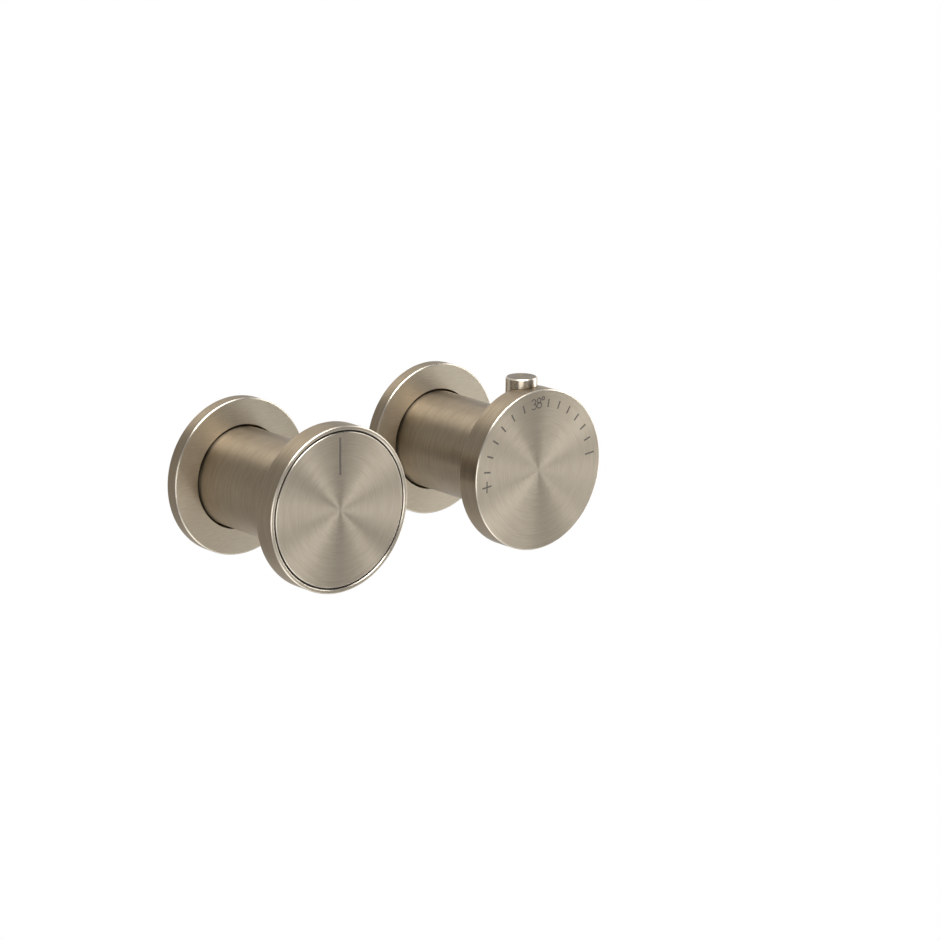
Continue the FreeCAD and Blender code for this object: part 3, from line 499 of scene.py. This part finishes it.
def stop_knob():
    """The left knob, with the stepped recess that its insert and its screw sit in."""
    return turned("stop_knob_trim", [
        *stem_and_disc(STOP_BACK, STOP_FRONT),
        (RECESS_RADIUS + KNOB_EDGE, STOP_FRONT),
        (RECESS_RADIUS, STOP_FRONT - KNOB_EDGE),
        (RECESS_RADIUS, STOP_FRONT - RECESS_DEPTH),
        (SPIGOT_BORE, STOP_FRONT - RECESS_DEPTH),
        (SPIGOT_BORE, SPIGOT_FLOOR),
        (SCREW_HEAD_BORE, SPIGOT_FLOOR),
        (SCREW_HEAD_BORE, SCREW_SEAT),
        (SCREW_BORE, SCREW_SEAT),
        (SCREW_BORE, STOP_SOCKET),
        *socket_and_hub(STOP_BORE_END, STOP_SOCKET),
    ], STOP_AXIS)


def stop_insert():
    """The flush face of the left knob, with the spigot that holds it."""
    front = STOP_FRONT - MARK_SINK
    return turned("stop_insert_trim", [
        (0, SPIGOT_END),
        (SPIGOT_RADIUS, SPIGOT_END),
        (SPIGOT_RADIUS, STOP_FRONT - INSERT_THICKNESS),
        (INSERT_RADIUS, STOP_FRONT - INSERT_THICKNESS),
        (INSERT_RADIUS, front - INSERT_EDGE),
        (INSERT_RADIUS - INSERT_EDGE, front),
        (0, front),
    ], STOP_AXIS)


def thermo_knob():
    """The right knob, notched behind its top edge for the button and drilled below for a screw."""
    front = THERMO_FRONT - MARK_SINK
    knob = turned("thermo_knob_trim", [
        *stem_and_disc(THERMO_BACK, front),
        (0, front),
        (0, THERMO_SOCKET),
        *socket_and_hub(THERMO_BORE_END, THERMO_SOCKET),
    ], THERMO_AXIS)
    past_rim = KNOB_RADIUS + STEM_RADIUS
    return cut_away(knob, [
        drill(NOTCH_RADIUS, NOTCH_FLOOR, past_rim, BUTTON_AXIS),
        drill(PIN_BORE, STEM_BORE - PIN_BORE, NOTCH_FLOOR + PIN_BORE, BUTTON_AXIS),
        drill(GRUB_BORE, -KNOB_RADIUS - GRUB_BORE, 0, GRUB_AXIS),
    ])


def button():
    """The override button, bored for its spring, with its guide pin and a groove for its clip."""
    return turned("override_button_trim", [
        (0, BUTTON_PIN_TIP),
        (BUTTON_PIN_RADIUS, BUTTON_PIN_TIP),
        (BUTTON_PIN_RADIUS, CLIP_LOW),
        (CLIP_NECK, CLIP_LOW),
        (CLIP_NECK, CLIP_TOP),
        (BUTTON_PIN_RADIUS, CLIP_TOP),
        (BUTTON_PIN_RADIUS, BUTTON_BORE_TOP),
        (BUTTON_BORE, BUTTON_BORE_TOP),
        (BUTTON_BORE, BUTTON_FOOT),
        (BUTTON_RADIUS, BUTTON_FOOT),
        (BUTTON_RADIUS, BUTTON_TOP - BUTTON_EDGE),
        (BUTTON_RADIUS - BUTTON_EDGE, BUTTON_TOP),
        (0, BUTTON_TOP),
    ], BUTTON_AXIS)


def coil(name, node, along, wire, turns):
    """A coil spring that fills a node's box, wound about one axis of the frame."""
    low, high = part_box(node)
    middle = (low + high) / 2
    start = low[along] + wire * MM
    end = high[along] - wire * MM
    first, second = (axis for axis in range(3) if axis != along)
    radius = (high[first] - low[first]) / 2 - wire * MM
    steps = turns * COIL_STEPS
    mesh = bmesh.new()
    rings = []
    for step in range(steps + 1):
        turn = math.tau * step / COIL_STEPS
        level = start + (end - start) * step / steps
        ring = []
        for side in range(WIRE_SIDES):
            around = math.tau * side / WIRE_SIDES
            reach = radius + wire * MM * math.cos(around)
            point = middle.copy()
            point[first] += reach * math.cos(turn)
            point[second] += reach * math.sin(turn)
            point[along] = level + wire * MM * math.sin(around)
            ring.append(mesh.verts.new(point))
        rings.append(ring)
    for ring, after in zip(rings, rings[1:]):
        for side, point in enumerate(ring):
            following = (side + 1) % WIRE_SIDES
            face = mesh.faces.new((point, ring[following], after[following], after[side]))
            face.smooth = True
    mesh.faces.new(rings[0])
    mesh.faces.new(rings[-1][::-1])
    return put(name, mesh, Matrix.Identity(4))


# brushed nickel: the darkest and lightest tone of its lines on the knobs' faces, on the rosettes'
# faces, around the stems and rims, on the button's side and top, and on the bevels. The stems, the
# rims and the button's top mirror the white wall, where those in the photograph mirror a dark room,
# so their tones are darker: painted shade for the dark room that they mirror.
FACE_TONES = ((0.335, 0.290, 0.225), (0.420, 0.368, 0.295))
# the rosettes' tones are lighter than the knobs' faces: painted light against the shade that the
# knobs cast on them
ROSETTE_PAINTED_LIGHT_TONES = ((0.540, 0.473, 0.370), (0.652, 0.580, 0.462))
SIDE_PAINTED_SHADE_TONES = ((0.158, 0.123, 0.081), (0.222, 0.181, 0.130))
BUTTON_SIDE_TONES = ((0.320, 0.278, 0.218), (0.345, 0.302, 0.240))
BUTTON_TOP_PAINTED_SHADE_TONES = ((0.100, 0.080, 0.055), (0.140, 0.115, 0.085))
BEVEL_TONES = ((0.41, 0.370, 0.310), (0.46, 0.420, 0.360))

# scales of the noise that draws its lines: straight ones along X, turned ones across and around
STRAIGHT_SCALE = (200.0, 1600.0, 200.0)
ACROSS_SCALE = 2600.0
AROUND_SCALE = 2.5

# where a noise value counts as fully dark or light, and as glossy or dull, and how far the gloss
# varies, on brushed lines and on the grain of the other materials
TONE_RANGE = (0.3, 0.7)
LINE_RANGE = (0.25, 0.75)
LINE_GLOSS = 0.05
GRAIN_RANGE = (0.3, 0.7)
GRAIN_GLOSS = 0.06
GRAIN_FINENESS = 12

# finishes of the pieces that keep their own mesh, by the record's slots, and of the marks: a name,
# the dark and light tones, metal or not, roughness, scale of the clouds, and depth of the grain in
# metres
METAL = 1.0
NO_METAL = 0.0
SLOT_FINISHES = {
    "brushed_nickel": ("nickel_inner", FACE_TONES, METAL, 0.34, 180.0, 10e-6),
    "brass": ("brass_cast", ((0.56, 0.40, 0.17), (0.66, 0.49, 0.23)),
              METAL, 0.36, 90.0, 30e-6),
    "stainless": ("stainless_sheet", ((0.55, 0.55, 0.54), (0.59, 0.59, 0.58)),
                  METAL, 0.33, 400.0, 4e-6),
    "spring_steel": ("spring_wire", ((0.40, 0.40, 0.40), (0.50, 0.50, 0.49)),
                     METAL, 0.28, 300.0, 6e-6),
    "rubber": ("seal_rubber", ((0.012, 0.012, 0.012), (0.022, 0.022, 0.021)),
               NO_METAL, 0.68, 350.0, 10e-6),
    "ceramic": ("lapped_ceramic", ((0.82, 0.80, 0.76), (0.88, 0.87, 0.84)),
                NO_METAL, 0.22, 250.0, 4e-6),
    "copper": ("drawn_copper", ((0.60, 0.29, 0.17), (0.70, 0.37, 0.23)),
               METAL, 0.30, 140.0, 10e-6),
    "plastic": ("moulded_acetal", ((0.74, 0.74, 0.71), (0.80, 0.80, 0.77)),
                NO_METAL, 0.45, 160.0, 12e-6),
}
MARK_FINISH = ("mark_grey", ((0.042, 0.034, 0.025), (0.052, 0.044, 0.034)),
               NO_METAL, 0.55, 400.0, 4e-6)


class Nodes:
    """A material's node tree, with short calls to add and join nodes."""

    def __init__(self, name):
        self.material = bpy.data.materials.new(name)
        self.material.use_nodes = True
        self.tree = self.material.node_tree
        self.shader = self.tree.nodes["Principled BSDF"]

    def add(self, kind, **settings):
        node = self.tree.nodes.new(kind)
        for key, value in settings.items():
            setattr(node, key, value)
        return node

    def join(self, output, target):
        self.tree.links.new(output, target)

    def maths(self, operation, first, second):
        node = self.add("ShaderNodeMath", operation=operation)
        for socket, value in zip(node.inputs, (first, second)):
            if isinstance(value, (int, float)):
                socket.default_value = value
            else:
                self.join(value, socket)
        return node.outputs[0]

    def vector(self, operation, first, second=None):
        node = self.add("ShaderNodeVectorMath", operation=operation)
        self.join(first, node.inputs[0])
        if second is not None:
            node.inputs[1].default_value = second
        return node.outputs["Value"] if operation == "LENGTH" else node.outputs["Vector"]

    def noise(self, where, scale, detail=3.0, roughness=0.6):
        node = self.add("ShaderNodeTexNoise")
        node.inputs["Scale"].default_value = scale
        node.inputs["Detail"].default_value = detail
        node.inputs["Roughness"].default_value = roughness
        self.join(where, node.inputs["Vector"])
        return node.outputs["Fac"]

    def gloss(self, value, bounds, middle, change):
        node = self.add("ShaderNodeMapRange")
        node.clamp = True
        self.join(value, node.inputs["Value"])
        node.inputs["From Min"].default_value, node.inputs["From Max"].default_value = bounds
        node.inputs["To Min"].default_value = middle - change
        node.inputs["To Max"].default_value = middle + change
        self.join(node.outputs["Result"], self.shader.inputs["Roughness"])

    def tone(self, value, dark, light):
        node = self.add("ShaderNodeValToRGB")
        self.join(value, node.inputs["Fac"])
        for end, position, colour in zip(node.color_ramp.elements, TONE_RANGE, (dark, light)):
            end.position = position
            end.color = (*colour, 1)
        self.join(node.outputs["Color"], self.shader.inputs["Base Color"])

    def bump(self, value, distance):
        node = self.add("ShaderNodeBump")
        node.inputs["Distance"].default_value = distance
        self.join(value, node.inputs["Height"])
        self.join(node.outputs["Normal"], self.shader.inputs["Normal"])

    def place(self):
        return self.add("ShaderNodeTexCoord").outputs["Object"]


def brushed_lines(nodes, straight):
    """Where a point lies across and along the brushing, stretched so that noise draws fine lines."""
    here = nodes.place()
    if straight:
        return nodes.vector("MULTIPLY", here, STRAIGHT_SCALE)
    flat = nodes.vector("MULTIPLY", here, (1, 1, 0))
    parts = nodes.add("ShaderNodeSeparateXYZ")
    nodes.join(here, parts.inputs[0])
    across = nodes.maths("ADD", nodes.vector("LENGTH", flat), parts.outputs["Z"])
    way = nodes.add("ShaderNodeSeparateXYZ")
    nodes.join(nodes.vector("NORMALIZE", flat), way.inputs[0])
    lines = nodes.add("ShaderNodeCombineXYZ")
    nodes.join(nodes.maths("MULTIPLY", across, ACROSS_SCALE), lines.inputs[0])
    nodes.join(nodes.maths("MULTIPLY", way.outputs["X"], AROUND_SCALE), lines.inputs[1])
    nodes.join(nodes.maths("MULTIPLY", way.outputs["Y"], AROUND_SCALE), lines.inputs[2])
    return lines.outputs[0]


def brushed_nickel(name, tones, straight=False, roughness=0.42, anisotropy=0.95, line_depth=16e-6):
    """Brushed nickel plate: light spreads across the brushing, and lines vary its tone and gloss."""
    nodes = Nodes(name)
    nodes.shader.inputs["Metallic"].default_value = METAL
    nodes.shader.inputs["Anisotropic"].default_value = anisotropy
    grain = nodes.noise(brushed_lines(nodes, straight), scale=1.0, detail=4.0, roughness=0.7)
    nodes.tone(grain, *tones)
    nodes.gloss(grain, LINE_RANGE, roughness, LINE_GLOSS)
    nodes.bump(grain, line_depth)
    tangent = nodes.add("ShaderNodeTangent", direction_type="UV_MAP", uv_map=BRUSH_MAP)
    nodes.join(tangent.outputs["Tangent"], nodes.shader.inputs["Tangent"])
    return nodes.material


def plain(name, tones, metallic, roughness, scale, depth):
    """A machined, moulded or painted material: cloudy tone, uneven gloss and a fine grain."""
    nodes = Nodes(name)
    nodes.shader.inputs["Metallic"].default_value = metallic
    here = nodes.place()
    grain = nodes.noise(here, scale * GRAIN_FINENESS)
    nodes.tone(nodes.noise(here, scale), *tones)
    nodes.gloss(grain, GRAIN_RANGE, roughness, GRAIN_GLOSS)
    nodes.bump(grain, depth)
    return nodes.material


def dress(piece, body, slot, materials, *nodes):
    """Gives a piece its materials, its place in the mechanism and the nodes that it stands for."""
    for material in materials:
        piece.data.materials.append(material)
    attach(piece, body)
    if nodes:
        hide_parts(*nodes)


def trim():
    """Everything that shows in front of the wall."""
    # painted shade: darker tones around the stems and rims, for the dark room that they mirror
    side = brushed_nickel("nickel_side_painted_shade", SIDE_PAINTED_SHADE_TONES, roughness=0.35)
    bevel = brushed_nickel("nickel_bevel", BEVEL_TONES, roughness=0.3, anisotropy=0.5,
                           line_depth=4e-6)
    turned_face = brushed_nickel("nickel_turned", FACE_TONES, roughness=0.36, anisotropy=0.97)
    # painted light: lighter tones on the rosettes' faces, against the knobs' shade on them
    painted_light_face = brushed_nickel("nickel_straight_painted_light", ROSETTE_PAINTED_LIGHT_TONES, straight=True)
    button_side = brushed_nickel("nickel_smooth", BUTTON_SIDE_TONES, roughness=0.26,
                                 anisotropy=0.5, line_depth=2e-6)
    # painted shade: a darker tone on the button's top, for the dark room that it mirrors
    painted_shade_top = brushed_nickel("nickel_top_painted_shade", BUTTON_TOP_PAINTED_SHADE_TONES, roughness=0.45,
                                anisotropy=0.5, line_depth=2e-6)
    on_knob = [turned_face, side, bevel]
    on_rosette = [painted_light_face, side, bevel]
    on_button = [painted_shade_top, button_side, bevel]
    paint = [plain(*MARK_FINISH)]
    for control, axis in (("stop", STOP_AXIS), ("thermo", THERMO_AXIS)):
        piece = rosette(f"{control}_rosette_trim", axis)
        dress(piece, "valve", "brushed_nickel", on_rosette, f"{control}_rosette")
    dress(stop_knob(), "stop_handle", "brushed_nickel", on_knob, "stop_knob")
    dress(stop_insert(), "stop_handle", "brushed_nickel", on_knob, "stop_knob_insert")
    dress(thermo_knob(), "thermo_handle", "brushed_nickel", on_knob, "thermo_knob")
    dress(button(), "button", "brushed_nickel", on_button, "override_button")
    line = stroke([Vector((0, INDICATOR_TO)), Vector((0, INDICATOR_FROM))], INDICATOR_WIDTH)
    piece = marks("stop_indicator", [line], STOP_FRONT, STOP_AXIS)
    dress(piece, "stop_handle", "rubber", paint)
    dial = [tick(COLD_START + COLD_STEP * count) for count in range(TICK_COUNT)]
    dial += [tick(HOT_START + HOT_STEP * count) for count in range(TICK_COUNT)]
    dial += sign(PLUS_ANGLE, True) + sign(MINUS_ANGLE, False) + reading()
    piece = marks("temperature_dial", dial, THERMO_FRONT, THERMO_AXIS)
    dress(piece, "thermo_handle", "rubber", paint)


def springs(wire):
    """The springs pressed between two bodies, each a fixed coil of wire in place of its node."""
    up, out = 2, 1
    for node, along, coil_size, seat, mover, seat_is_high in (
            ("hot_check_spring", up, CHECK_COIL, "valve", "hot_check", True),
            ("cold_check_spring", up, CHECK_COIL, "valve", "cold_check", True),
            ("return_spring", out, RETURN_COIL, "valve", "shuttle", True),
            ("button_spring", up, BUTTON_COIL, "thermo_handle", "button", False)):
        piece = coil(f"{node}_coil", node, along, *coil_size)
        piece.data.materials.append(wire)
        low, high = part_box(node)
        ends = [(low + high) / 2, (low + high) / 2]
        ends[0][along] = low[along] + coil_size[0] * MM * 2
        ends[1][along] = high[along] - coil_size[0] * MM * 2
        if seat_is_high:
            ends.reverse()
        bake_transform(piece)
        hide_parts(node)


def kept_nodes():
    """Materials for the valve and all else that keeps its own mesh, and the springs' wire."""
    materials = {slot: plain(*finish) for slot, finish in SLOT_FINISHES.items()}
    springs(materials["spring_steel"])
    slots = {part["node"]: part["material_slot"] for part in frame["record"]["subparts"]}
    for name, node in frame["nodes"].items():
        node.data.materials.clear()
        node.data.materials.append(materials[slots[name]])


# the photograph's camera, fitted to the rims of the rosettes, stems and knobs
CAMERA_PLACE = (-0.776936, -1.080968, 0.327871)
CAMERA_LENS = 122.738
CAMERA_SENSOR = 36.0
CAMERA_AZIMUTH = math.radians(-40.218)
CAMERA_ELEVATION = math.radians(14.730)
CAMERA_ROLL = math.radians(0.5419)


def camera():
    """The photograph's view."""
    data = bpy.data.cameras.new("camera")
    data.sensor_width = CAMERA_SENSOR
    data.lens = CAMERA_LENS
    eye = added("camera", data)
    right = Vector((math.cos(CAMERA_AZIMUTH), math.sin(CAMERA_AZIMUTH), 0))
    level = math.cos(CAMERA_ELEVATION)
    back = Vector((math.sin(CAMERA_AZIMUTH) * level, -math.cos(CAMERA_AZIMUTH) * level,
                   math.sin(CAMERA_ELEVATION)))
    up = back.cross(right)
    side = right * math.cos(CAMERA_ROLL) + up * math.sin(CAMERA_ROLL)
    top = up * math.cos(CAMERA_ROLL) - right * math.sin(CAMERA_ROLL)
    turn = Matrix((side, top, back)).transposed().to_4x4()
    eye.matrix_world = Matrix.Translation(CAMERA_PLACE) @ turn
    bpy.context.scene.camera = eye


# the stage in metres, the floor's tones, scale of clouds and roughness, and the radius of the wall's
# openings in millimetres
STAGE_REACH = 4.0
FLOOR_LEVEL = -1.1
FLOOR_TONES = ((0.78, 0.78, 0.77), (0.82, 0.82, 0.81))
FLOOR_CLOUDS = 3.0
FLOOR_ROUGHNESS = 0.8
WALL_TOP = 2.0
WALL_BEHIND = 0.0003
WALL_OPENING = 28.0


def outline(mesh, corners):
    """The closed line of edges through some corners."""
    points = [mesh.verts.new(corner) for corner in corners]
    return [mesh.edges.new(pair) for pair in zip(points, points[1:] + points[:1])]


def sheet(name, corners, openings=()):
    """A flat surface of the stage, with openings in it."""
    mesh = bmesh.new()
    edges = outline(mesh, corners)
    for opening in openings:
        edges += outline(mesh, opening)
    first, second, third = (Vector(corner) for corner in corners[:3])
    bmesh.ops.triangle_fill(mesh, edges=edges, use_beauty=True, use_dissolve=False,
                            normal=(second - first).cross(third - first))
    piece = made(name, mesh)
    return piece


def floor():
    """A pale floor, well below the mixer."""
    reach = STAGE_REACH
    piece = sheet("floor", [(-reach, -reach, FLOOR_LEVEL), (reach, -reach, FLOOR_LEVEL),
                            (reach, reach, FLOOR_LEVEL), (-reach, reach, FLOOR_LEVEL)])
    nodes = Nodes("floor_pale")
    nodes.tone(nodes.noise(nodes.place(), FLOOR_CLOUDS), *FLOOR_TONES)
    nodes.shader.inputs["Roughness"].default_value = FLOOR_ROUGHNESS
    piece.data.materials.append(nodes.material)


def wall():
    """The white face of the finished wall, which is open from behind to show the valve.

    Only camera, glossy and transmission rays see it, and it casts no shadow."""
    reach = STAGE_REACH
    y = -WALL_DEPTH * MM + WALL_BEHIND
    rim = [on_dial(turn * 360 / SEGMENTS, WALL_OPENING * MM) for turn in range(SEGMENTS)]
    openings = [[(x + point.x, y, point.y) for point in rim] for x in (STOP_X, THERMO_X)]
    piece = sheet("wall", [(-reach, y, FLOOR_LEVEL), (reach, y, FLOOR_LEVEL),
                           (reach, y, WALL_TOP), (-reach, y, WALL_TOP)], openings)
    nodes = Nodes("wall_white")
    nodes.tree.nodes.remove(nodes.shader)
    rays = nodes.add("ShaderNodeLightPath").outputs
    straight = nodes.maths("ADD", rays["Is Camera Ray"], rays["Is Transmission Ray"])
    seen = nodes.maths("ADD", rays["Is Glossy Ray"], straight)
    behind = nodes.add("ShaderNodeNewGeometry").outputs["Backfacing"]
    either = nodes.add("ShaderNodeMixShader")
    nodes.join(nodes.maths("GREATER_THAN", seen, behind), either.inputs[0])
    nodes.join(nodes.add("ShaderNodeBsdfTransparent").outputs[0], either.inputs[1])
    nodes.join(nodes.add("ShaderNodeEmission").outputs[0], either.inputs[2])
    nodes.join(either.outputs[0], nodes.tree.nodes["Material Output"].inputs["Surface"])
    nodes.material.cycles.emission_sampling = "NONE"
    piece.data.materials.append(nodes.material)
    piece.visible_shadow = False


ROOM_GREY = (0.40, 0.40, 0.40, 1)
LAMP_AIM = Vector((0, -0.1, 0))


def lamp(name, place, width, height, watts):
    """A soft rectangular lamp that points at the controls."""
    data = bpy.data.lights.new(name, "AREA")
    data.shape = "RECTANGLE"
    data.size = width
    data.size_y = height
    data.energy = watts
    piece = added(name, data)
    way = LAMP_AIM - Vector(place)
    turn = way.to_track_quat("-Z", "Y").to_matrix().to_4x4()
    piece.matrix_world = Matrix.Translation(place) @ turn


def light():
    """Soft studio light: a grey room, and broad lamps in front, at both sides, below and above."""
    world = bpy.data.worlds.new("studio")
    world.use_nodes = True
    world.node_tree.nodes["Background"].inputs["Color"].default_value = ROOM_GREY
    bpy.context.scene.world = world
    lamp("front_lamp", place=(0, -1.7, 0.1), width=0.8, height=0.8, watts=1.5)
    lamp("key_lamp", place=(-1.0, -1.25, -0.2), width=0.9, height=0.9, watts=8.0)
    lamp("low_lamp", place=(0.15, -1.25, -1.07), width=0.8, height=0.8, watts=2.4)
    lamp("under_lamp", place=(-0.3, -0.3, -1.0), width=1.4, height=0.5, watts=2.7)
    lamp("top_lamp", place=(0.2, -0.25, 1.3), width=2.6, height=0.8, watts=52.0)
    lamp("top_left_lamp", place=(-0.45, -0.4, 1.3), width=0.8, height=0.8, watts=16.0)
    lamp("right_lamp", place=(1.5, -0.38, 0.15), width=1.1, height=1.9, watts=33.0)
    lamp("right_low_lamp", place=(1.2, -1.0, -0.75), width=0.7, height=0.7, watts=1.2)


def main():
    """Dresses the frame, sets the stage, the camera and the light."""
    trim()
    kept_nodes()
    camera()
    floor()
    wall()
    light()
    bpy.context.scene.view_settings.view_transform = "Standard"


main()
